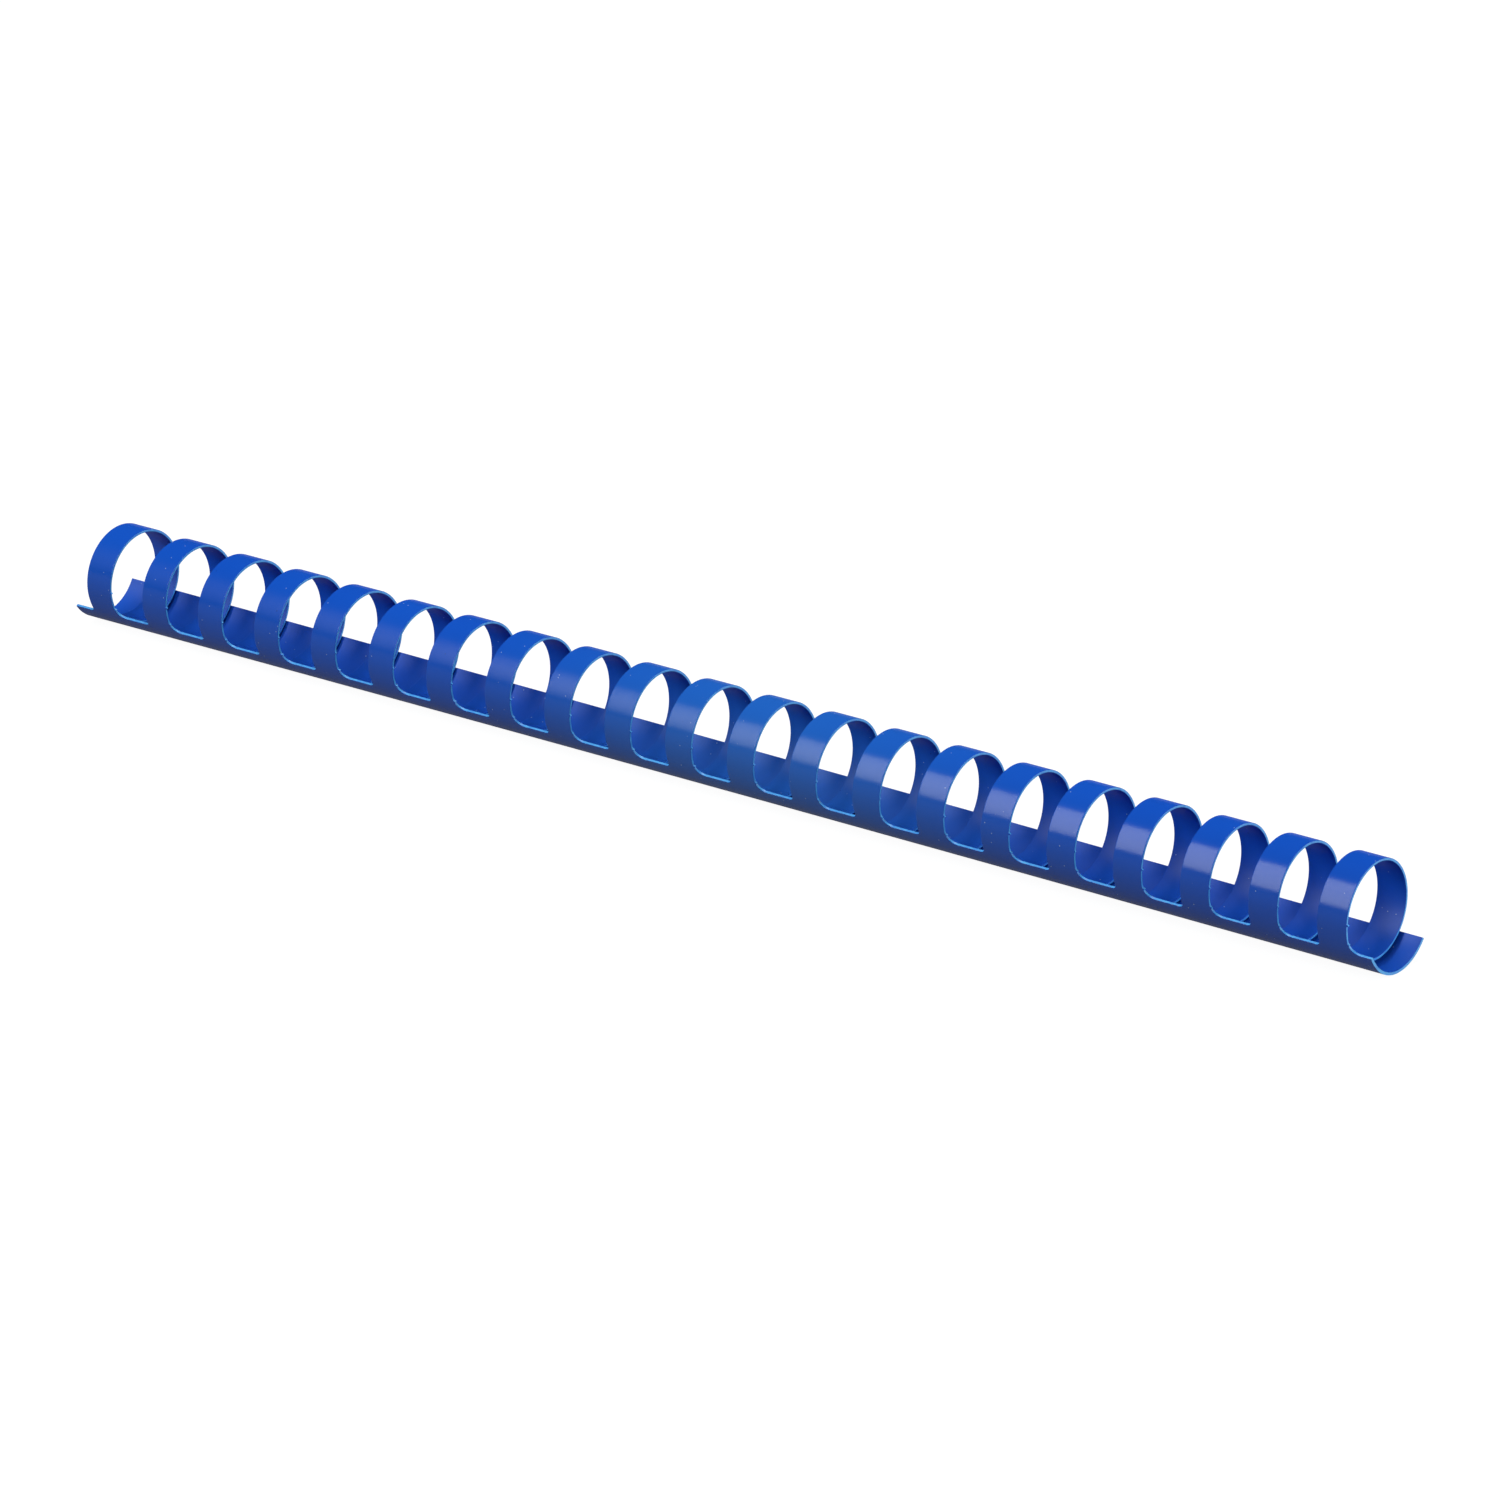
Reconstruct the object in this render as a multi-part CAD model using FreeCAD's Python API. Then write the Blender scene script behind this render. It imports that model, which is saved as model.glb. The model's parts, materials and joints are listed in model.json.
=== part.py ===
"""Plastic binding comb: a curled spine strip and a row of finger rings that hinge on its front edge.

Millimetres. +X runs along the comb, +Y to its back and +Z up. The origin is the middle of the comb's
length and depth, on the surface that the belly of the spine rests on. Angles in the cross-section turn
about the comb's axis: 0 degrees is the back, 90 the crown, 180 the front and 270 the belly.
"""
import FreeCAD
import Part

import math
import os

# Driving dimensions
RING_COUNT = 21
RING_PITCH = 14.2875
RING_WIDTH = 6.0
COMB_DIAMETER = 19.0
SHEET_THICKNESS = 0.5
LIP_ANGLE = 210.5
REAR_EDGE_ANGLE = 326.5
TIP_ANGLE = -120.0
TUCK_CLEARANCE = 0.25
WIDE_SLOT_CORNER = 2.4
TIGHT_SLOT_CORNER = 0.9
TIP_CORNER = 1.2
HINGE_LAND = 0.3

# Sizes that follow from them
OUTER_RADIUS = COMB_DIAMETER / 2
INNER_RADIUS = OUTER_RADIUS - SHEET_THICKNESS
WALL_RADIUS = OUTER_RADIUS - SHEET_THICKNESS / 2
COMB_LENGTH = RING_COUNT * RING_PITCH
CROWN_ANGLE = 90.0

# Each ring leaves the spine just above the slot corners that flank it
HINGE_ANGLE = (
    LIP_ANGLE
    - math.degrees(math.asin(max(WIDE_SLOT_CORNER, TIGHT_SLOT_CORNER) / INNER_RADIUS))
    - math.degrees(HINGE_LAND / INNER_RADIUS)
)

# Past the crown a ring curls tighter, about a raised centre, so that it passes inside the rear edge
TUCK_RADIUS = INNER_RADIUS - TUCK_CLEARANCE
CURL_RISE = (OUTER_RADIUS**2 - TUCK_RADIUS**2) / (
    2 * (OUTER_RADIUS - TUCK_RADIUS * math.sin(math.radians(REAR_EDGE_ANGLE)))
)
CURL_RADIUS = OUTER_RADIUS - CURL_RISE

# The comb's axis stands where the belly touches z = 0 and the depth is centred on y = 0
AXIS = FreeCAD.Vector(0, CURL_RISE / 2, OUTER_RADIUS)
TOUCH = 1e-4


def section_point(radius, angle, rise=0.0, x=0.0):
    """Point of the cross-section at a radius and an angle about the comb's axis, or about a raised centre."""
    turn = math.radians(angle)
    return AXIS + FreeCAD.Vector(x, radius * math.cos(turn), rise + radius * math.sin(turn))


def section_arc(radius, start, end, rise=0.0):
    """Arc of the cross-section from one angle to another."""
    middle = (start + end) / 2
    points = [section_point(radius, angle, rise) for angle in (start, middle, end)]
    return Part.Arc(*points).toShape()


def section_line(angle, outer, inner, rise=0.0):
    """Straight cut across the sheet, from its outer face to its inner face."""
    return Part.LineSegment(
        section_point(outer, angle, rise), section_point(inner, angle, rise)
    ).toShape()


def extruded(edges, x_start, x_end):
    """Solid of a closed cross-section carried along the comb between two stations."""
    face = Part.Face(Part.Wire(Part.__sortEdges__(edges)))
    face.translate(FreeCAD.Vector(x_start, 0, 0))
    return face.extrude(FreeCAD.Vector(x_end - x_start, 0, 0))


def curved_strip(start, end, x_start, x_end):
    """Strip of the rolled sheet between two angles and two stations."""
    edges = [
        section_arc(OUTER_RADIUS, start, end),
        section_arc(INNER_RADIUS, start, end),
        section_line(start, OUTER_RADIUS, INNER_RADIUS),
        section_line(end, OUTER_RADIUS, INNER_RADIUS),
    ]
    return extruded(edges, x_start, x_end)


def edges_at(shape, points):
    """Edges of a shape whose middles lie at the given points."""
    return [
        edge
        for edge in shape.Edges
        if any(edge.CenterOfMass.distanceToPoint(point) < TOUCH for point in points)
    ]


def ring_stations():
    """Middle of each ring along the comb, from the left end to the right."""
    first = -(RING_COUNT - 1) / 2 * RING_PITCH
    return [first + index * RING_PITCH for index in range(RING_COUNT)]


def spine():
    """Curled strip under the rings, with a short stub for each ring and rounded corners in every slot."""
    half_width = RING_WIDTH / 2
    belly = curved_strip(LIP_ANGLE, REAR_EDGE_ANGLE, -COMB_LENGTH / 2, COMB_LENGTH / 2)
    stubs = [
        curved_strip(HINGE_ANGLE, LIP_ANGLE, station - half_width, station + half_width)
        for station in ring_stations()
    ]
    body = belly.multiFuse(stubs).removeSplitter()
    for side, radius in ((half_width, WIDE_SLOT_CORNER), (-half_width, TIGHT_SLOT_CORNER)):
        corners = [
            section_point(WALL_RADIUS, LIP_ANGLE, x=station + side) for station in ring_stations()
        ]
        body = body.makeFillet(radius, edges_at(body, corners))
    return body


def ring(station):
    """Finger that rises from its stub, goes over the crown and tucks in behind the rear edge of the spine."""
    half_width = RING_WIDTH / 2
    curl_inner = CURL_RADIUS - SHEET_THICKNESS
    edges = [
        section_arc(OUTER_RADIUS, HINGE_ANGLE, CROWN_ANGLE),
        section_arc(CURL_RADIUS, CROWN_ANGLE, TIP_ANGLE, CURL_RISE),
        section_line(TIP_ANGLE, CURL_RADIUS, curl_inner, CURL_RISE),
        section_arc(curl_inner, CROWN_ANGLE, TIP_ANGLE, CURL_RISE),
        section_arc(INNER_RADIUS, HINGE_ANGLE, CROWN_ANGLE),
        section_line(HINGE_ANGLE, OUTER_RADIUS, INNER_RADIUS),
    ]
    finger = extruded(edges, station - half_width, station + half_width)
    tip_middle = CURL_RADIUS - SHEET_THICKNESS / 2
    corners = [
        section_point(tip_middle, TIP_ANGLE, CURL_RISE, station + side)
        for side in (-half_width, half_width)
    ]
    return finger.makeFillet(TIP_CORNER, edges_at(finger, corners))


def main():
    """Writes the spine and every ring to its own file."""
    os.makedirs("parts", exist_ok=True)
    spine().exportStep("parts/spine.step")
    for number, station in enumerate(ring_stations(), start=1):
        ring(station).exportStep(f"parts/ring_{number:02d}.step")
    hinge = section_point(OUTER_RADIUS, HINGE_ANGLE)
    print(f"hinge line y {hinge.y:.4f} z {hinge.z:.4f} at {HINGE_ANGLE:.3f} degrees")
    print(f"comb axis y {AXIS.y:.4f} z {AXIS.z:.4f}, curl radius {CURL_RADIUS:.4f} rise {CURL_RISE:.4f}")


main()
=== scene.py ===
"""Blue plastic binding comb: the looks of its curled spine and of its row of finger rings.

The comb's sizes are in millimetres in its own frame, +X along the comb, +Y to its back and +Z up, and they
become metres when a mesh or a material is written. The studio around it is in metres. Angles in the
cross-section turn about the comb's axis: 0 degrees is the back, 90 the crown, 180 the front and 270 the
belly.
"""
from __future__ import annotations

import json
import logging
import math
from dataclasses import dataclass
from enum import Enum
from typing import Any

import bpy
import numpy as np
from mathutils import Matrix, Vector
from numpy.typing import NDArray

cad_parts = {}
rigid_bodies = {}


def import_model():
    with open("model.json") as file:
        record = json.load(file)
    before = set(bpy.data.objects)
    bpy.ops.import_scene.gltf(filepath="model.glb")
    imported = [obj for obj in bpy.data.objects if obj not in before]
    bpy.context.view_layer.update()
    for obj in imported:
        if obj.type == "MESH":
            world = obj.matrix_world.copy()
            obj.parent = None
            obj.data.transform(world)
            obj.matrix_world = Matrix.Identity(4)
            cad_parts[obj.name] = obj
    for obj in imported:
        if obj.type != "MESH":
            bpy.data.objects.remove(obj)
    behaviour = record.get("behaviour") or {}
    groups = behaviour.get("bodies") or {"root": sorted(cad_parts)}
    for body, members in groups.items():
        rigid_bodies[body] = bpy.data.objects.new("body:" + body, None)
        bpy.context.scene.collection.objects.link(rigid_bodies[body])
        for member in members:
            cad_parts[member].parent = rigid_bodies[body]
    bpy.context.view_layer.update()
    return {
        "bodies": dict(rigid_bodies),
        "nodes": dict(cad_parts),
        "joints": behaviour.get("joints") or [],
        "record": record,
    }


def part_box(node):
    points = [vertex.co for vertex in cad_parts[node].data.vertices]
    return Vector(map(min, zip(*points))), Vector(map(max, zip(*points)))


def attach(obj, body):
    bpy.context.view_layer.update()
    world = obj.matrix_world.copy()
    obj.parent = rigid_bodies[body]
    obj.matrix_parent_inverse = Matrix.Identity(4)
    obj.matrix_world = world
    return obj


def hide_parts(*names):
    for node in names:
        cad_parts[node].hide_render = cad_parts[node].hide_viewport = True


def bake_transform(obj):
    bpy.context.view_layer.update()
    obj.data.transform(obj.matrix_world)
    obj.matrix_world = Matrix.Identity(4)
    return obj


LOG = logging.getLogger("comb")
MM = 0.001
SEED = 21
SHARP_ANGLE = math.radians(40.0)

Array = NDArray[np.float64]
Colour = tuple[float, float, float, float]
Socket = bpy.types.NodeSocket


class Face(Enum):
    """Which finish a face of the sheet takes, as its place among a piece's materials."""

    OUTER = 0
    INNER = 1
    CUT = 2


def smoothstep(share: Array) -> Array:
    """Ease from 0 to 1, with 3 t^2 - 2 t^3, as share goes from 0 to 1.

    Args:
        share: How far along the ease each value is; it is held within 0 and 1.

    Returns:
        The eased values.
    """
    held = np.clip(share, 0.0, 1.0)
    return held * held * (3.0 - 2.0 * held)


def turned(y: Array, z: Array, pivot: tuple[float, float], angle: Array) -> tuple[Array, Array]:
    """Turn points of the cross-section about a pivot.

    Args:
        y: Depths of the points.
        z: Heights of the points.
        pivot: Depth and height of the point they turn about.
        angle: Turn of each point in radians, from +Y towards +Z.

    Returns:
        The depths and heights after the turn.
    """
    across, above = y - pivot[0], z - pivot[1]
    cosine, sine = np.cos(angle), np.sin(angle)
    return pivot[0] + across * cosine - above * sine, pivot[1] + across * sine + above * cosine


def quarter_circle(height: Array, radius: float) -> Array:
    """How far a hollow quarter circle stands out at a height over its foot.

    Args:
        height: Heights over the foot.
        radius: Radius of the circle.

    Returns:
        radius - sqrt(radius^2 - (radius - height)^2) up to the height of the radius, and 0 above it.
    """
    left = radius - np.clip(height, 0.0, radius)
    return radius - np.sqrt(radius * radius - left * left)


@dataclass(frozen=True)
class Clouds:
    """Cloudy noise: its scale per metre, its detail, and the range of its values that counts."""

    scale: float
    detail: float
    reach: tuple[float, float]


@dataclass(frozen=True)
class Speckle:
    """Small round dots, one in the middle of a share of the cells of a random pattern, in millimetres."""

    spacing: float
    radius: float
    share: float
    core: float = 0.6


class NodeBench:
    """Adds nodes to one node tree and joins their sockets."""

    MIX_A = 6
    MIX_B = 7
    MIX_RESULT = 2

    def __init__(self, tree: bpy.types.NodeTree) -> None:
        """Start on an emptied tree."""
        self.tree = tree
        tree.nodes.clear()

    def add(self, kind: str, inputs: dict[str | int, Any] | None = None, **settings: Any) -> bpy.types.Node:
        """Add a node.

        Args:
            kind: Blender's name for the node's type.
            inputs: Values or sockets for the node's inputs, by name or place.
            **settings: Properties of the node.

        Returns:
            The new node.
        """
        node = self.tree.nodes.new(kind)
        for name, value in settings.items():
            setattr(node, name, value)
        for socket, value in (inputs or {}).items():
            if isinstance(value, Socket):
                self.tree.links.new(value, node.inputs[socket])
            else:
                node.inputs[socket].default_value = value
        return node

    def stretched(self, place: Socket, scale: tuple[float, float, float]) -> Socket:
        """Scale a place by axis, so that a pattern on it is finer along the larger numbers."""
        return self.add("ShaderNodeMapping", {"Vector": place, "Scale": scale}).outputs["Vector"]

    def noise(self, place: Socket, scale: float, detail: float) -> Socket:
        """Cloudy noise from 0 to 1 at a place."""
        inputs = {"Vector": place, "Scale": scale, "Detail": detail}
        return self.add("ShaderNodeTexNoise", inputs).outputs["Fac"]

    def clouds(self, place: Socket, pattern: Clouds, target: tuple[float, float] = (0.0, 1.0)) -> Socket:
        """Cloudy noise at a place, with the reach of its pattern mapped on a target range."""
        return self.ranged(self.noise(place, pattern.scale, pattern.detail), pattern.reach, target)

    def ranged(self, value: Socket, source: tuple[float, float], target: tuple[float, float],
               ease: str = "LINEAR") -> Socket:
        """Map one range of a value on another and hold it there.

        Args:
            value: Socket to read.
            source: Values at the two ends of the range that is read.
            target: Values at the two ends of the range that is given.
            ease: Blender's name for the way from one end to the other.

        Returns:
            The mapped value's socket.
        """
        limits = {"Value": value, "From Min": source[0], "From Max": source[1],
                  "To Min": target[0], "To Max": target[1]}
        return self.add("ShaderNodeMapRange", limits, interpolation_type=ease).outputs["Result"]

    def product(self, first: Socket, second: Socket) -> Socket:
        """Multiply two values."""
        return self.add("ShaderNodeMath", {0: first, 1: second}, operation="MULTIPLY").outputs["Value"]

    def larger(self, first: Socket, second: Socket) -> Socket:
        """Larger of two values."""
        return self.add("ShaderNodeMath", {0: first, 1: second}, operation="MAXIMUM").outputs["Value"]

    def mixed(self, factor: Socket, first: Any, second: Any) -> Socket:
        """Mix two colours by a factor."""
        inputs = {0: factor, self.MIX_A: first, self.MIX_B: second}
        return self.add("ShaderNodeMix", inputs, data_type="RGBA").outputs[self.MIX_RESULT]

    def dots(self, place: Socket, speckle: Speckle) -> Socket:
        """Scatter dots.

        Args:
            place: Socket of the place in metres.
            speckle: How large the dots are and how close they lie.

        Returns:
            Socket that is 1 in the core of a dot, falls to 0 at its rim and is 0 elsewhere.
        """
        cells = self.add("ShaderNodeTexVoronoi", {"Vector": place, "Scale": 1.0 / (speckle.spacing * MM)})
        rim = speckle.radius / speckle.spacing
        disc = self.ranged(cells.outputs["Distance"], (rim, speckle.core * rim), (0.0, 1.0))
        draw = self.add("ShaderNodeSeparateColor", {"Color": cells.outputs["Color"]}).outputs["Red"]
        chosen = self.add("ShaderNodeMath", {0: draw, 1: speckle.share}, operation="LESS_THAN")
        return self.product(disc, chosen.outputs["Value"])

    def surface(self, shader: Socket) -> None:
        """Make a shader the material's surface."""
        self.add("ShaderNodeOutputMaterial", {"Surface": shader})


def new_material(name: str) -> tuple[bpy.types.Material, NodeBench]:
    """Make an empty node material.

    Args:
        name: Name of the material.

    Returns:
        The material and a bench on its nodes.
    """
    material = bpy.data.materials.new(name)
    material.use_nodes = True
    return material, NodeBench(material.node_tree)


@dataclass(frozen=True)
class SheetFinish:
    """One side of the blue PVC sheet: mottled, dusty, rolled, with painted pit shade, under a thin glossy
    film.
    """

    name: str
    film: float
    film_roughness: float
    line_strength: float
    film_index: float = 2.2
    roughness: tuple[float, float] = (0.50, 0.65)
    grain: Clouds = Clouds(scale=420.0, detail=2.0, reach=(0.3, 0.7))
    mottle: Clouds = Clouds(scale=38.0, detail=3.0, reach=(0.32, 0.68))
    colour: Colour = (0.0050, 0.072, 0.48, 1.0)
    lighter: Colour = (0.0060, 0.079, 0.50, 1.0)
    faded: Colour = (0.0125, 0.110, 0.49, 1.0)
    fade_centre: float = 14.0
    fade_reach: float = 75.0
    dust: Speckle = Speckle(spacing=1.6, radius=0.12, share=0.5)
    dust_colour: Colour = (0.30, 0.42, 0.66, 1.0)
    # Small dark dots of painted shade, which stand for the shade in tiny pit holes that have no relief.
    pit_shade_dots: Speckle = Speckle(spacing=2.4, radius=0.14, share=0.25)
    pit_stretch: tuple[float, float, float] = (0.93, 1.07, 1.02)
    painted_pit_shade: Colour = (0.003, 0.02, 0.13, 1.0)
    line_scale: tuple[float, float, float] = (2400.0, 70.0, 70.0)
    line_detail: float = 3.0
    line_height: float = 0.02

    def material(self) -> bpy.types.Material:
        """Build the finish.

        Returns:
            The material. Its colour is two blues mixed by broad noise, greener round one place along the
            comb, with dots of dust and small dark dots of painted pit shade over them, and its bump is
            noise drawn out round the comb, as the rollers leave it.
        """
        material, bench = new_material(self.name)
        place = bench.add("ShaderNodeTexCoord").outputs["Object"]
        blues = bench.mixed(bench.clouds(place, self.mottle), self.colour, self.lighter)
        along = bench.add("ShaderNodeSeparateXYZ", {"Vector": place}).outputs["X"]
        offset = bench.add("ShaderNodeMath", {0: along, 1: self.fade_centre * MM}, operation="SUBTRACT")
        beside = bench.add("ShaderNodeMath", {0: offset.outputs["Value"]}, operation="ABSOLUTE")
        fade = bench.ranged(beside.outputs["Value"], (self.fade_reach * MM, 0.0), (0.0, 1.0), "SMOOTHSTEP")
        plastic = bench.mixed(fade, blues, self.faded)
        dusty = bench.mixed(bench.dots(place, self.dust), plastic, self.dust_colour)
        # painted shade: dark dots for tiny pit holes in the sheet
        pit_shade_dots = bench.dots(bench.stretched(place, self.pit_stretch), self.pit_shade_dots)
        colour = bench.mixed(pit_shade_dots, dusty, self.painted_pit_shade)
        grain = bench.clouds(place, self.grain, self.roughness)
        lines = bench.noise(bench.stretched(place, self.line_scale), 1.0, self.line_detail)
        relief = {"Strength": self.line_strength, "Distance": self.line_height * MM, "Height": lines}
        bump = bench.add("ShaderNodeBump", relief).outputs["Normal"]
        shader = bench.add("ShaderNodeBsdfPrincipled", {
            "Base Color": colour, "Roughness": grain, "Specular IOR Level": 0.0, "Normal": bump,
            "Coat Weight": self.film, "Coat IOR": self.film_index, "Coat Roughness": self.film_roughness,
            "Coat Normal": bump})
        bench.surface(shader.outputs["BSDF"])
        return material


@dataclass(frozen=True)
class CutEdgeFinish:
    """Die-cut edge of the sheet: paler (partly painted light) and duller than its faces, and streaked by
    the blade.
    """

    name: str = "die_cut_edge"
    # The pale blue is partly the whitened cut and partly painted light, standing in for light that comes
    # through the sheet to its edge.
    pale: Colour = (0.075, 0.400, 0.84, 1.0)
    deep: Colour = (0.045, 0.280, 0.74, 1.0)
    roughness: float = 0.42
    streaks: Clouds = Clouds(scale=900.0, detail=3.0, reach=(0.35, 0.62))

    def material(self) -> bpy.types.Material:
        """Build the finish.

        Returns:
            The material, whose colour runs between a pale and a deeper blue by fine noise. The pale blue
            is partly the whitened cut and partly painted light, for light that comes through the sheet.
        """
        material, bench = new_material(self.name)
        place = bench.add("ShaderNodeTexCoord").outputs["Object"]
        colour = bench.mixed(bench.clouds(place, self.streaks), self.deep, self.pale)
        shader = bench.add("ShaderNodeBsdfPrincipled", {"Base Color": colour, "Roughness": self.roughness})
        bench.surface(shader.outputs["BSDF"])
        return material


@dataclass(frozen=True)
class SweepFinish:
    """White studio sweep: it shows white, with the object's shadow, and lights the object as pale paper."""

    name: str = "white_sweep"
    paper: Colour = (0.13, 0.13, 0.13, 1.0)
    shown: Colour = (0.12, 0.12, 0.12, 1.0)
    glow: float = 0.95

    def material(self) -> bpy.types.Material:
        """Build the finish.

        Returns:
            The material. Rays from the eye, and those that a glossy or clear surface passes on, see a glow
            with some shaded paper over it; all other rays see plain paper.
        """
        material, bench = new_material(self.name)
        path = bench.add("ShaderNodeLightPath")
        bounced = bench.larger(path.outputs["Is Glossy Ray"], path.outputs["Is Transmission Ray"])
        seen = bench.larger(path.outputs["Is Camera Ray"], bounced)
        paper = bench.add("ShaderNodeBsdfDiffuse", {"Color": self.paper})
        shaded = bench.add("ShaderNodeBsdfDiffuse", {"Color": self.shown})
        glow = bench.add("ShaderNodeEmission", {"Strength": self.glow})
        white = bench.add("ShaderNodeAddShader", {0: shaded.outputs["BSDF"], 1: glow.outputs["Emission"]})
        choices = {0: seen, 1: paper.outputs["BSDF"], 2: white.outputs["Shader"]}
        mix = bench.add("ShaderNodeMixShader", choices)
        bench.surface(mix.outputs["Shader"])
        return material


@dataclass(frozen=True)
class StripLoop:
    """Closed rounded rectangle across the sheet, which is carried along a path to make a strip.

    The loop runs along the outer face, round two small corners and the cut wall, back along the inner face
    and round the other wall. Its first half is mirrored in its second half, so that a strip's ends close
    with a row of quads. Across a face its points lie at the near shares beside each edge, and evenly
    between the two margins.
    """

    thickness: float
    edge_radius: float
    near: tuple[float, ...]
    margin: float
    columns: int
    corner_steps: int = 3

    @property
    def face_shares(self) -> Array:
        """Place the points of a face.

        Returns:
            Shares of the width at which they lie, from 0 to 1.
        """
        beside = np.array(self.near)
        even = np.linspace(self.margin, 1.0 - self.margin, self.columns)
        return np.concatenate([beside, even, 1.0 - beside[::-1]])

    def _half(self) -> tuple[Array, Array, Array]:
        """Outer half of the loop.

        Returns:
            Share of the width, offset towards the middle in edge radii, and depth in edge radii, each from
            the first wall to the second. A corner is a quarter circle: offset 1 - sin a, depth 1 - cos a.
        """
        quarter = np.linspace(0.5 * math.pi, 0.0, self.corner_steps + 1)[:-1]
        offset, depth = 1.0 - np.sin(quarter), 1.0 - np.cos(quarter)
        face = self.face_shares
        share = np.concatenate([np.zeros_like(quarter), face, np.ones_like(quarter)])
        inset = np.concatenate([offset, 1.0 - 2.0 * face, -offset[::-1]])
        return share, inset, np.concatenate([depth, np.zeros_like(face), depth[::-1]])

    def points(self, radius: Array) -> tuple[Array, Array, Array]:
        """Loop points for one or more edge radii.

        Args:
            radius: Radius of the corners beside the first wall, one for each row of the strip.

        Returns:
            Share of the width for each loop point, and for each row and loop point the offset along the
            width and the depth below the outer face, in millimetres. Beside the second wall the corners
            keep the profile's own edge radius.
        """
        share, inset, depth = self._half()
        size = np.where(share[None, :] < 0.5, radius[:, None], self.edge_radius)
        offset, below = inset[None, :] * size, depth[None, :] * size
        return (np.concatenate([share, share[::-1]]),
                np.concatenate([offset, offset[:, ::-1]], axis=1),
                np.concatenate([below, self.thickness - below[:, ::-1]], axis=1))

    def faces(self) -> NDArray[np.int32]:
        """Choose the finish of the face that follows each loop point.

        Returns:
            Places among a piece's materials: the two walls are cut, and the rest is sheet.
        """
        finish = np.repeat([Face.OUTER.value, Face.INNER.value], self.half_count())
        finish[[self.half_count() - 1, -1]] = Face.CUT.value
        return finish.astype(np.int32)

    def half_count(self) -> int:
        """Number of points in half of the loop."""
        return 2 * len(self.near) + self.columns + 2 * self.corner_steps


def strip_mesh(name: str, points: Array, loop: StripLoop) -> bpy.types.Object:
    """Close a lofted strip and make an object of it.

    Row after row of the loop is joined by quads, and both ends are closed by quads between the outer half
    of the loop and the mirrored inner half.

    Args:
        name: Name of the piece.
        points: Places in millimetres, by row along the strip, loop point and axis.
        loop: Profile that the rows follow.

    Returns:
        The new object, at the origin, in the scene.
    """
    rows, around = points.shape[:2]
    index = np.arange(rows * around).reshape(rows, around)
    after = np.roll(index, -1, axis=1)
    sides = np.stack([index[:-1], after[:-1], after[1:], index[1:]], axis=-1).reshape(-1, 4)
    side_finish = np.tile(loop.faces(), rows - 1)
    step = np.arange(loop.half_count() - 1)
    cap = np.stack([step, step + 1, around - 2 - step, around - 1 - step], axis=-1)
    caps = np.concatenate([index[0][cap[:, ::-1]], index[-1][cap]])
    cap_finish = np.full(len(caps), Face.CUT.value, np.int32)
    mesh = bpy.data.meshes.new(name)
    mesh.from_pydata(points.reshape(-1, 3) * MM, [], np.concatenate([sides, caps]), shade_flat=False)
    mesh.polygons.foreach_set("material_index", np.concatenate([side_finish, cap_finish]))
    mesh.set_sharp_from_angle(angle=SHARP_ANGLE)
    mesh.update()
    made = bpy.data.objects.new(name, mesh)
    bpy.context.scene.collection.objects.link(made)
    return made


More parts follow.
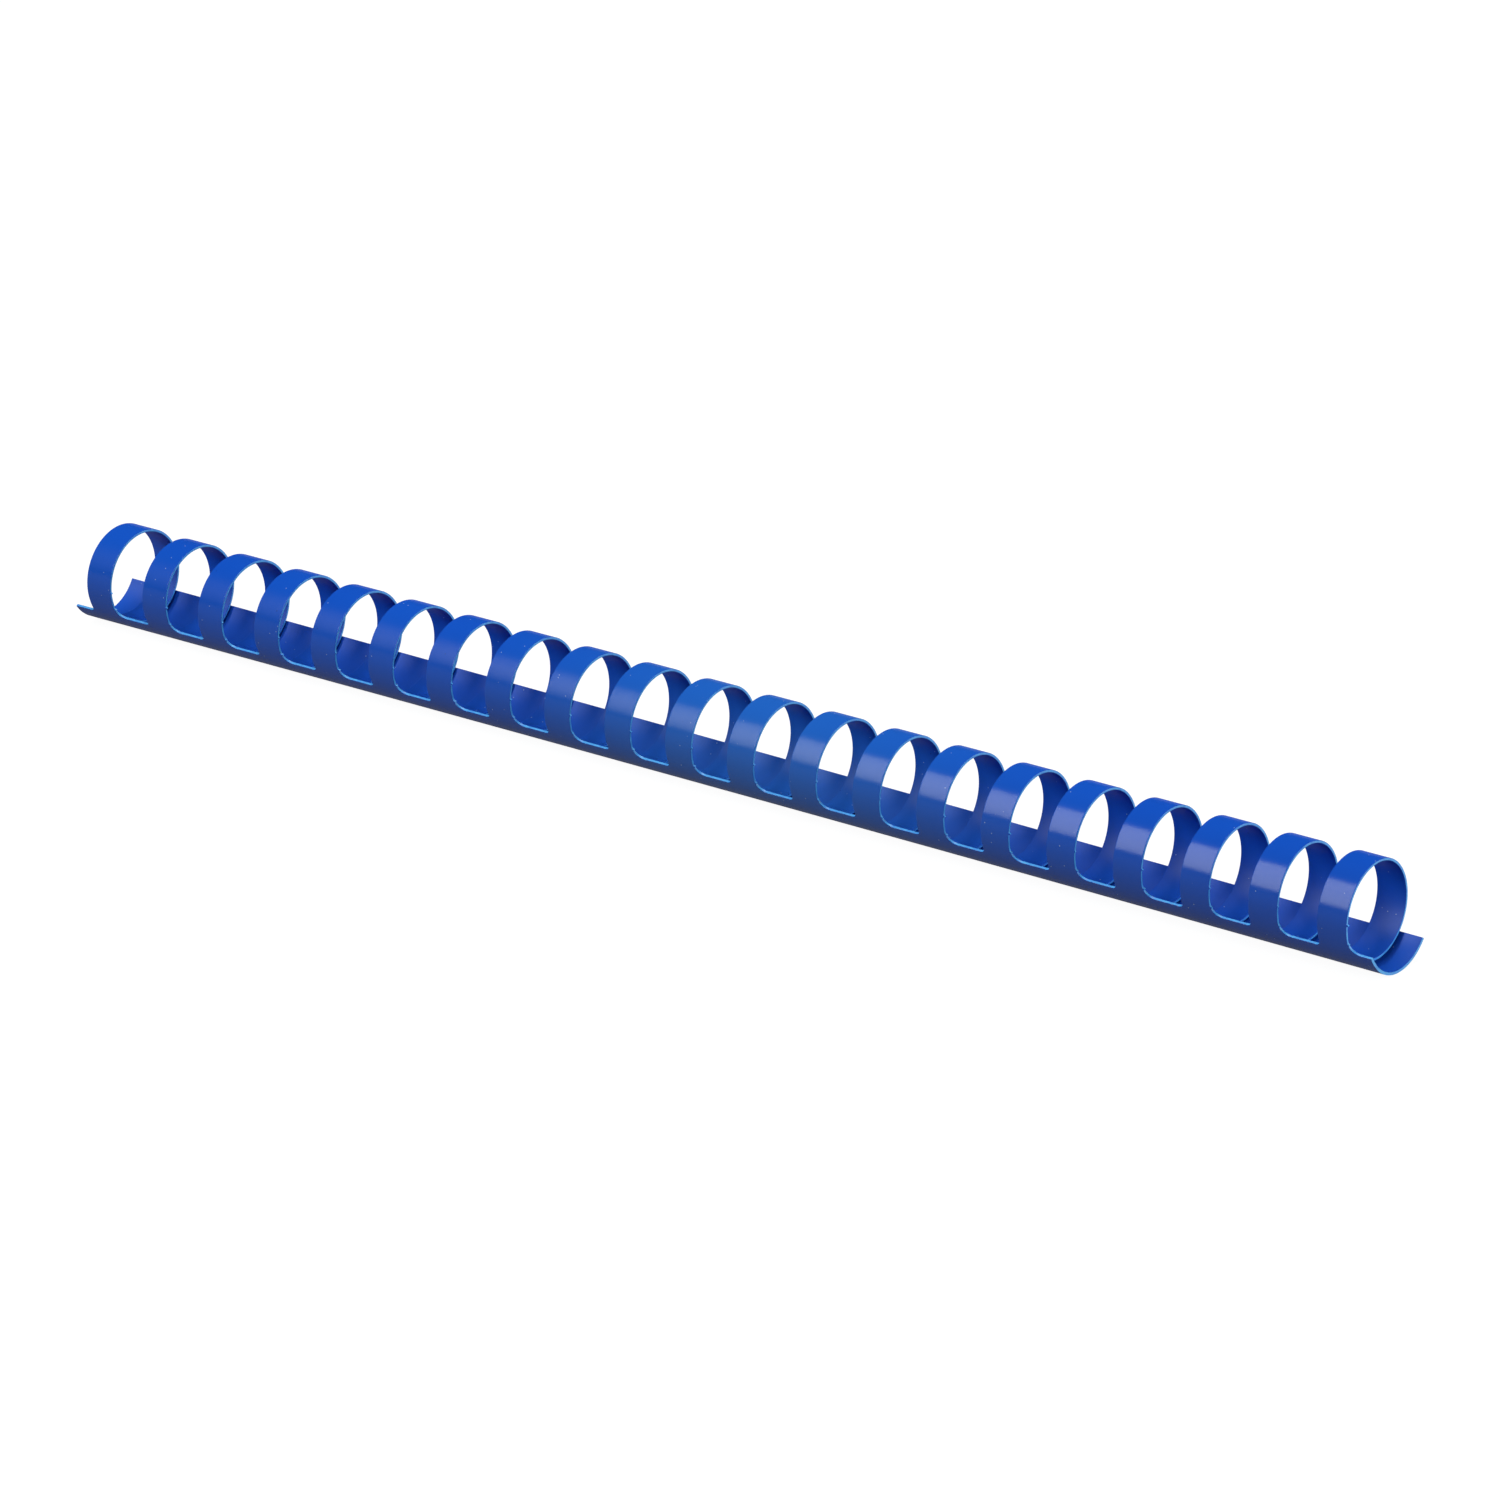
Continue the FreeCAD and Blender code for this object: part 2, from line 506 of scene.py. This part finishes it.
@dataclass(frozen=True)
class CombSection:
    """Cross-section of the comb, read from the frame.

    The spine is an arc of a circle about the comb's axis. A finger leaves the spine's lip along the same
    circle up to the crown and then curls on a smaller circle about a raised centre, so that its tip passes
    inside the spine's rear edge.
    """

    axis: tuple[float, float]
    radius: float
    curl_radius: float
    hinge_angle: float
    rear_angle: float
    thickness: float = 0.5
    wide_corner: float = 2.4
    tight_corner: float = 0.9
    hinge_land: float = 0.3
    crown_angle: float = 90.0
    tip_angle: float = -120.0

    @classmethod
    def from_frame(cls, frame: dict[str, Any]) -> CombSection:
        """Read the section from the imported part.


        Returns:
            The section. The axis is the sheet mount's place, the belly touches z = 0, and the depths of the
            spine and of a ring give the rear edge and the curl.
        """
        mount = next(entry for entry in frame["record"]["mounts"] if entry["name"] == "sheet_rings")
        axis_y, axis_z = (value / MM for value in mount["pos_m"][1:])
        hinge_y, hinge_z = (value / MM for value in frame["joints"][0]["pos_m"][1:])
        spine_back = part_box("spine")[1].y / MM - axis_y
        ring_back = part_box("ring_01")[1].y / MM - axis_y
        return cls(
            axis=(axis_y, axis_z),
            radius=axis_z,
            curl_radius=ring_back,
            hinge_angle=math.degrees(math.atan2(hinge_z - axis_z, hinge_y - axis_y)) % 360.0,
            rear_angle=360.0 - math.degrees(math.acos(spine_back / axis_z)),
        )

    @property
    def lip_angle(self) -> float:
        """Find the spine's front lip.

        Returns:
            Its angle, which lies below the hinge's by the widest slot corner and a small land.
        """
        inner = self.radius - self.thickness
        corner = math.asin(self.wide_corner / inner)
        return self.hinge_angle + math.degrees(corner + self.hinge_land / inner)

    @property
    def hinge_run(self) -> float:
        """Arc length from the lip to the hinge on the outer face."""
        return self.radius * math.radians(self.lip_angle - self.hinge_angle)

    @property
    def crown_run(self) -> float:
        """Arc length from the lip to the crown on the outer face."""
        return self.radius * math.radians(self.lip_angle - self.crown_angle)

    @property
    def tip_run(self) -> float:
        """Arc length from the lip to the tip on the outer face."""
        return self.crown_run + self.curl_radius * math.radians(self.crown_angle - self.tip_angle)

    def hinge_point(self) -> tuple[float, float]:
        """Depth and height of the hinge line."""
        turn = math.radians(self.hinge_angle)
        return self.axis[0] + self.radius * math.cos(turn), self.axis[1] + self.radius * math.sin(turn)

    def finger_points(self, run: Array, depth: Array) -> tuple[Array, Array]:
        """Points of a closed finger.

        Args:
            run: Arc length from the lip along the outer face, by row.
            depth: Depth below the outer face, by row and loop point.

        Returns:
            Depths and heights by row and loop point: centre + (radius - depth) (cos a, sin a), where the
            angle a falls from the lip by run / radius.
        """
        front = run < self.crown_run
        front_turn = math.radians(self.lip_angle) - run / self.radius
        curl_turn = math.radians(self.crown_angle) - (run - self.crown_run) / self.curl_radius
        turn = np.where(front, front_turn, curl_turn)[:, None]
        reach = np.where(front, self.radius, self.curl_radius)[:, None] - depth
        rise = np.where(front, 0.0, self.radius - self.curl_radius)[:, None]
        return self.axis[0] + reach * np.cos(turn), self.axis[1] + rise + reach * np.sin(turn)


@dataclass(frozen=True)
class Settling:
    """How this comb has settled in use: it is slightly wound and bowed, and its end rings stand ajar.

    Its curl varies along the comb too, by a share of its size per half length and per half length squared,
    and so does the skew of its rings, which run along the comb like a screw's thread.
    """

    half_length: float
    wind: float = -4.1662
    curl: tuple[float, float] = (-0.0037, 0.0099)
    bow: tuple[float, float] = (-0.5214, 0.0788)
    skew: tuple[float, float] = (0.5264, -0.4029)
    end_opening: float = 3.7259
    end_power: float = 6.0

    def settled(self, x: Array, y: Array, z: Array, axis: tuple[float, float]) -> Array:
        """Wind, curl and bow points by their place along the comb.

        Args:
            x: Places along the comb.
            y: Depths.
            z: Heights.
            axis: Depth and height of the comb's axis.

        Returns:
            The points with their axis last: turned about the axis in proportion to x, drawn in to it or out
            from it by the curl's polynomial, and shifted by the bow in proportion to x squared.
        """
        share = x / self.half_length
        y, z = turned(y, z, axis, np.radians(self.wind) * share)
        size = 1.0 + self.curl[0] * share + self.curl[1] * share ** 2
        depth = axis[0] + size * (y - axis[0]) + self.bow[0] * share ** 2
        height = axis[1] + size * (z - axis[1]) + self.bow[1] * share ** 2
        return np.stack([x, depth, height], axis=-1)

    def opening(self, x: float) -> float:
        """Angle in radians that a ring at x stands open: it grows steeply towards the comb's ends."""
        return math.radians(self.end_opening) * (abs(x) / self.half_length) ** self.end_power

    def ring_skew(self, x: float) -> float:
        """How far along the comb a ring at x runs in each half turn."""
        return self.skew[0] + self.skew[1] * x / self.half_length


@dataclass
class Spine:
    """Curled strip under the rings, with a straight front lip that the fingers grow from."""

    section: CombSection
    settling: Settling
    stations: Array
    ring_width: float
    length: float
    left_overhang: float = 0.76
    right_overhang: float = 0.36
    edge_radius: float = 0.07
    seam_radius: float = 0.004
    seam_fade: float = 0.4
    seam_columns: int = 7
    seam_margin: float = 0.1
    column_step: float = 1.2
    end_gap: float = 0.05
    near: tuple[float, ...] = (0.0, 0.002, 0.01)
    margin: float = 0.03
    face_columns: int = 44

    def _columns(self) -> Array:
        """Place the grid's columns.

        Returns:
            Their places along the comb: an even row, and more beside every finger's root.
        """
        half = 0.5 * self.ring_width
        left, right = -0.5 * self.length - self.left_overhang, 0.5 * self.length + self.right_overhang
        even = np.linspace(left, right, round((right - left) / self.column_step) + 1)
        fade = np.linspace(-self.seam_margin, 1.0 + self.seam_margin, self.seam_columns) * self.seam_fade
        tight = self.stations[:, None] - half - self.section.tight_corner - fade
        wide = self.stations[:, None] + half + self.section.wide_corner + fade
        every = np.unique(np.concatenate([even, tight.ravel(), wide.ravel()]).round(3))
        inside = every[(every > left + self.end_gap) & (every < right - self.end_gap)]
        return np.concatenate([[left], inside, [right]])

    def _lip_radius(self, x: Array) -> Array:
        """Rounding of the lip's edges along the comb.

        Args:
            x: Places along the comb.

        Returns:
            The full edge radius in the slots, easing to almost nothing under the fingers' roots, where the
            sheet goes on into the finger.
        """
        half = 0.5 * self.ring_width
        beside = x[:, None] - self.stations
        before = -half - self.section.tight_corner - beside
        after = beside - half - self.section.wide_corner
        eased = smoothstep(np.maximum(before, after).min(axis=1) / self.seam_fade)
        return self.seam_radius + (self.edge_radius - self.seam_radius) * eased

    def build(self) -> bpy.types.Object:
        """Build the spine.

        Returns:
            The spine: a strip whose profile lies round the comb, from the lip to the rear edge at
            axis + (radius - depth) (cos a, sin a), and whose rows run along the comb.
        """
        section = self.section
        x = self._columns()
        loop = StripLoop(section.thickness, self.edge_radius, self.near, self.margin, self.face_columns)
        share, offset, depth = loop.points(self._lip_radius(x))
        width = math.radians(section.rear_angle - section.lip_angle)
        turn = math.radians(section.lip_angle) + share * width + offset / section.radius
        reach = section.radius - depth
        y, z = section.axis[0] + reach * np.cos(turn), section.axis[1] + reach * np.sin(turn)
        along = np.broadcast_to(x[:, None], y.shape)
        return strip_mesh("spine_strip", self.settling.settled(along, y, z, section.axis), loop)


@dataclass
class FingerRing:
    """One finger: a root that bends out of the spine's lip, and a hoop that goes on to the tucked tip."""

    number: int
    centre: float
    width: float
    section: CombSection
    settling: Settling
    burrs: Array
    lean: float = 0.0
    edge_radius: float = 0.07
    tip_corner: float = 1.2
    burr_runs: tuple[float, float] = (1.75, 5.55)
    burr_length: float = 0.15
    burr_reach: float = 0.5
    near: tuple[float, ...] = (0.0, 0.012)
    margin: float = 0.1
    face_columns: int = 7
    row_step: float = 0.4
    row_gap: float = 0.004
    flare_rows: int = 15
    burr_rows: int = 11
    tip_rows: int = 9

    @property
    def root_run(self) -> float:
        """Arc length of the root, which reaches as far past the hinge as the lip lies before it."""
        return 2.0 * self.section.hinge_run

    def _edges(self, run: Array) -> tuple[Array, Array]:
        """Left and right edge of the finger.

        Args:
            run: Arc length from the lip, by row.

        Returns:
            Places along the comb of the two edges. Near the lip they flare by the quarter circles of the
            slot's corners, near the tip they draw in by such a quarter circle, and small burrs, each shaped
            as exp(-d^2) of the distance d from its middle, stand out of the right edge.
        """
        section = self.section
        middle = section.radius - 0.5 * section.thickness
        # half way to the crown the slot's corners are long past
        height = np.where(run < section.crown_run / 2, middle * np.sin(run / section.radius), math.inf)
        half = 0.5 * self.width - quarter_circle(section.tip_run - run, self.tip_corner)
        offset = (run[:, None] - np.array(self.burr_runs)) / self.burr_length
        burr = (self.burrs * np.exp(-offset * offset)).sum(axis=1)
        left = self.centre - half - quarter_circle(height, section.tight_corner)
        return left, self.centre + half + quarter_circle(height, section.wide_corner) + burr

    def _strip(self, name: str, run: Array) -> bpy.types.Object:
        """Make a stretch of the finger.

        Args:
            name: Name of the piece.
            run: Arc length from the lip, by row.

        Returns:
            The stretch: the rounded rectangle of the sheet carried along the finger's path, opened about
            the hinge by the ring's own small angle, leaned and skewed along the comb and wound with it.
        """
        section = self.section
        loop = StripLoop(section.thickness, self.edge_radius, self.near, self.margin, self.face_columns)
        share, offset, depth = loop.points(np.full(len(run), self.edge_radius))
        left, right = self._edges(run)
        eased = smoothstep(run / self.root_run)[:, None]
        x = left[:, None] + share * (right - left)[:, None] + offset
        y, z = section.finger_points(run, depth)
        y, z = turned(y, z, section.hinge_point(), self.settling.opening(self.centre) * eased)
        half_turns = (run - section.hinge_run)[:, None] / (math.pi * section.radius)
        leaned = self.lean * (z - section.hinge_point()[1]) / section.radius
        x = x + eased * (leaned + self.settling.ring_skew(self.centre) * half_turns)
        return strip_mesh(name, self.settling.settled(x, y, z, section.axis), loop)

    def _rows(self, start: float, end: float) -> Array:
        """Place the rows of a stretch.

        Args:
            start: Arc length from the lip at which the stretch starts.
            end: Arc length at which it ends.

        Returns:
            Arc lengths of the rows: even steps, finer at the lip, at the burrs and at the tip.
        """
        section = self.section
        even = np.arange(start, end, self.row_step)
        flare = section.wide_corner * np.linspace(0.0, 1.0, self.flare_rows) ** 2
        beside = np.linspace(-self.burr_reach, self.burr_reach, self.burr_rows)
        spots = (np.array(self.burr_runs)[:, None] + beside).ravel()
        tip = section.tip_run - self.tip_corner * np.linspace(1.0, 0.0, self.tip_rows) ** 2
        every = np.concatenate([even, flare, spots, tip])
        inside = np.unique(every[(every > start + self.row_gap) & (every < end - self.row_gap)].round(3))
        return np.concatenate([[start], inside, [end]])

    def build(self) -> tuple[bpy.types.Object, bpy.types.Object]:
        """Build the finger.

        Returns:
            The root and the hoop, which meet face to face past the hinge.
        """
        root = self._strip(f"finger_root_{self.number:02d}", self._rows(0.0, self.root_run))
        hoop_rows = self._rows(self.root_run, self.section.tip_run)
        return root, self._strip(f"finger_hoop_{self.number:02d}", hoop_rows)

    def hinge_zone(self) -> tuple[Vector, Vector]:
        """Ends of the root's stretch about the hinge.

        Returns:
            Points in metres near the lip and near the end of the root, each drawn in along the line between
            them by the sheet's thickness times the sine of the lip's slant from the hinge.
        """
        run = np.array([0.0, self.root_run])
        y, z = self.section.finger_points(run, np.zeros((2, 1)))
        x = np.full((2, 1), self.centre)
        ends = self.settling.settled(x, y, z, self.section.axis)
        lip, top = (Vector(end[0]) * MM for end in ends)
        slant = math.radians(self.section.lip_angle - self.section.hinge_angle)
        inset = (top - lip).normalized() * self.section.thickness * math.sin(slant) * MM
        return lip + inset, top - inset


def dress(piece: bpy.types.Object, finishes: dict[Face, bpy.types.Material]) -> None:
    """Give a piece its finishes.

    Args:
        piece: Object to dress.
        finishes: Material of every kind of face.
    """
    for face in Face:
        piece.data.materials.append(finishes[face])


@dataclass
class Comb:
    """The whole comb: the spine and every finger, with the finishes they share."""

    section: CombSection
    frame: dict[str, Any]
    outer: SheetFinish = SheetFinish("satin_blue_pvc", film=0.125, film_roughness=0.205,
                                     line_strength=0.025)
    inner: SheetFinish = SheetFinish("matte_blue_pvc", film=0.17, film_roughness=0.45, line_strength=0.06)
    cut: CutEdgeFinish = CutEdgeFinish()
    burr_height: tuple[float, float] = (0.14, 0.42)
    lean_spread: float = 0.05

    def build(self) -> None:
        """Build and dress every piece, and tie the spine and each hoop to its body."""
        finishes = {Face.OUTER: self.outer.material(), Face.INNER: self.inner.material(),
                    Face.CUT: self.cut.material()}
        names = [joint["child"] for joint in self.frame["joints"]]
        boxes = [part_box(name) for name in names]
        stations = np.array([0.5 * (low.x + high.x) / MM for low, high in boxes])
        width = (boxes[0][1].x - boxes[0][0].x) / MM
        low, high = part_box("spine")
        length = (high.x - low.x) / MM
        settling = Settling(half_length=0.5 * length)

        spine = Spine(self.section, settling, stations, width, length).build()
        dress(spine, finishes)
        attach(spine, "spine")
        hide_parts("spine")
        LOG.info("%s: %d faces", spine.name, len(spine.data.polygons))

        draws = np.random.default_rng(SEED)
        for number, (name, centre) in enumerate(zip(names, stations), start=1):
            burrs = draws.uniform(*self.burr_height, size=len(FingerRing.burr_runs))
            lean = draws.normal(0.0, self.lean_spread)
            ring = FingerRing(number, float(centre), width, self.section, settling, burrs, lean)
            root, hoop = ring.build()
            start, end = ring.hinge_zone()
            for piece in (root, hoop):
                dress(piece, finishes)
                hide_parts(name)
            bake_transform(root)
            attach(hoop, name)
            LOG.info("%s and %s: %d faces", root.name, hoop.name,
                     len(root.data.polygons) + len(hoop.data.polygons))


@dataclass(frozen=True)
class Softbox:
    """Rectangular studio lamp that faces a point, in metres."""

    name: str
    place: tuple[float, float, float]
    size: tuple[float, float]
    radiance: float
    target: tuple[float, float, float] = (0.0, 0.0, 0.01)
    tint: tuple[float, float, float] = (1.0, 1.0, 1.0)

    def build(self) -> bpy.types.Object:
        """Hang the lamp.

        Returns:
            The lamp, whose power is its radiance times pi times its area.
        """
        data = bpy.data.lights.new(self.name, "AREA")
        data.shape = "RECTANGLE"
        data.size, data.size_y = self.size
        data.energy = self.radiance * math.pi * self.size[0] * self.size[1]
        data.color = self.tint
        lamp = bpy.data.objects.new(self.name, data)
        aim = Vector(self.target) - Vector(self.place)
        turn = aim.to_track_quat("-Z", "Y").to_matrix().to_4x4()
        lamp.matrix_world = Matrix.Translation(self.place) @ turn
        bpy.context.scene.collection.objects.link(lamp)
        return lamp


@dataclass(frozen=True)
class Studio:
    """White sweep, soft lamps and dim surroundings, in metres."""

    sweep: SweepFinish = SweepFinish()
    flat_radius: float = 3.0
    rim_radius: float = 7.0
    rim_height: float = 0.7
    cells: int = 96
    surroundings: Colour = (0.08, 0.08, 0.08, 1.0)
    lamps: tuple[Softbox, ...] = (
        Softbox("front_softbox", place=(-0.80, -1.056, 0.97), size=(0.53, 1.424), radiance=8.8,
                target=(-0.80, 0.0, 0.01), tint=(0.97, 1.0, 0.94)),
        Softbox("top_softbox", place=(0.0, 0.06, 1.2), size=(0.36, 0.70), radiance=9.6),
        Softbox("end_softbox", place=(1.10, -0.11, 0.22), size=(0.50, 0.50), radiance=6.0),
        Softbox("rear_softbox", place=(0.95, 0.95, 0.50), size=(0.50, 0.90), radiance=6.0),
    )

    def build(self) -> None:
        """Build the sweep, the lamps and the world.

        The sweep's height is rim_height s^2 (3 - 2 s), where s is the share of the way from the flat radius
        to the rim radius that a point lies from the middle.
        """
        side = np.linspace(-self.rim_radius, self.rim_radius, self.cells + 1)
        x, y = np.meshgrid(side, side)
        share = (np.hypot(x, y) - self.flat_radius) / (self.rim_radius - self.flat_radius)
        points = np.stack([x, y, self.rim_height * smoothstep(share)], axis=-1)
        index = np.arange(x.size).reshape(x.shape)
        quads = np.stack([index[:-1, :-1], index[:-1, 1:], index[1:, 1:], index[1:, :-1]], axis=-1)
        mesh = bpy.data.meshes.new("sweep")
        mesh.from_pydata(points.reshape(-1, 3), [], quads.reshape(-1, 4), shade_flat=False)
        mesh.materials.append(self.sweep.material())
        sweep = bpy.data.objects.new("sweep", mesh)
        bpy.context.scene.collection.objects.link(sweep)
        for lamp in self.lamps:
            LOG.info("%s at %s", lamp.build().name, lamp.place)
        world = bpy.data.worlds.new("studio")
        world.use_nodes = True
        bench = NodeBench(world.node_tree)
        dim = bench.add("ShaderNodeBackground", {"Color": self.surroundings})
        bench.add("ShaderNodeOutputWorld", {"Surface": dim.outputs["Background"]})
        bpy.context.scene.world = world


@dataclass(frozen=True)
class PhotoCamera:
    """Camera at the photograph's viewing angle, in degrees, millimetres and the photograph's pixels."""

    azimuth: float = 38.8026
    elevation: float = 21.3588
    roll: float = -1.0727
    distance: float = 1306.9601
    slide_right: float = 7.187
    slide_up: float = -3.244
    focal_pixels: float = 7181.2
    image_pixels: float = 1500.0
    sensor: float = 36.0
    clip: tuple[float, float] = (50.0, 50000.0)

    def build(self, axis: tuple[float, float]) -> bpy.types.Object:
        """Set up the camera.

        Args:
            axis: Depth and height of the comb's axis, which the camera looks at beside its two slides.

        Returns:
            The scene's camera.
        """
        azimuth, elevation = math.radians(self.azimuth), math.radians(self.elevation)
        back = Vector((math.sin(azimuth) * math.cos(elevation), -math.cos(azimuth) * math.cos(elevation),
                       math.sin(elevation)))
        level = (-back).cross(Vector((0.0, 0.0, 1.0))).normalized()
        upright = level.cross(-back)
        roll = math.radians(self.roll)
        right = math.cos(roll) * level + math.sin(roll) * upright
        up = math.cos(roll) * upright - math.sin(roll) * level
        aim = Vector((0.0, *axis)) + self.slide_right * right + self.slide_up * up
        data = bpy.data.cameras.new("photo_camera")
        data.sensor_width = self.sensor
        data.lens = self.focal_pixels / self.image_pixels * self.sensor
        data.clip_start, data.clip_end = (distance * MM for distance in self.clip)
        camera = bpy.data.objects.new("photo_camera", data)
        turn = Matrix((right, up, back)).transposed().to_4x4()
        camera.matrix_world = Matrix.Translation((aim + self.distance * back) * MM) @ turn
        bpy.context.scene.collection.objects.link(camera)
        bpy.context.scene.camera = camera
        return camera


def main() -> None:
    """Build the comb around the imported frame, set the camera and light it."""
    logging.basicConfig(level=logging.INFO, format="%(name)s: %(message)s")
    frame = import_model()
    bpy.context.scene.view_settings.view_transform = "Standard"

    section = CombSection.from_frame(frame)
    LOG.info("%s is set", PhotoCamera().build(section.axis).name)
    Studio().build()
    Comb(section, frame).build()


if __name__ == "__main__":
    main()
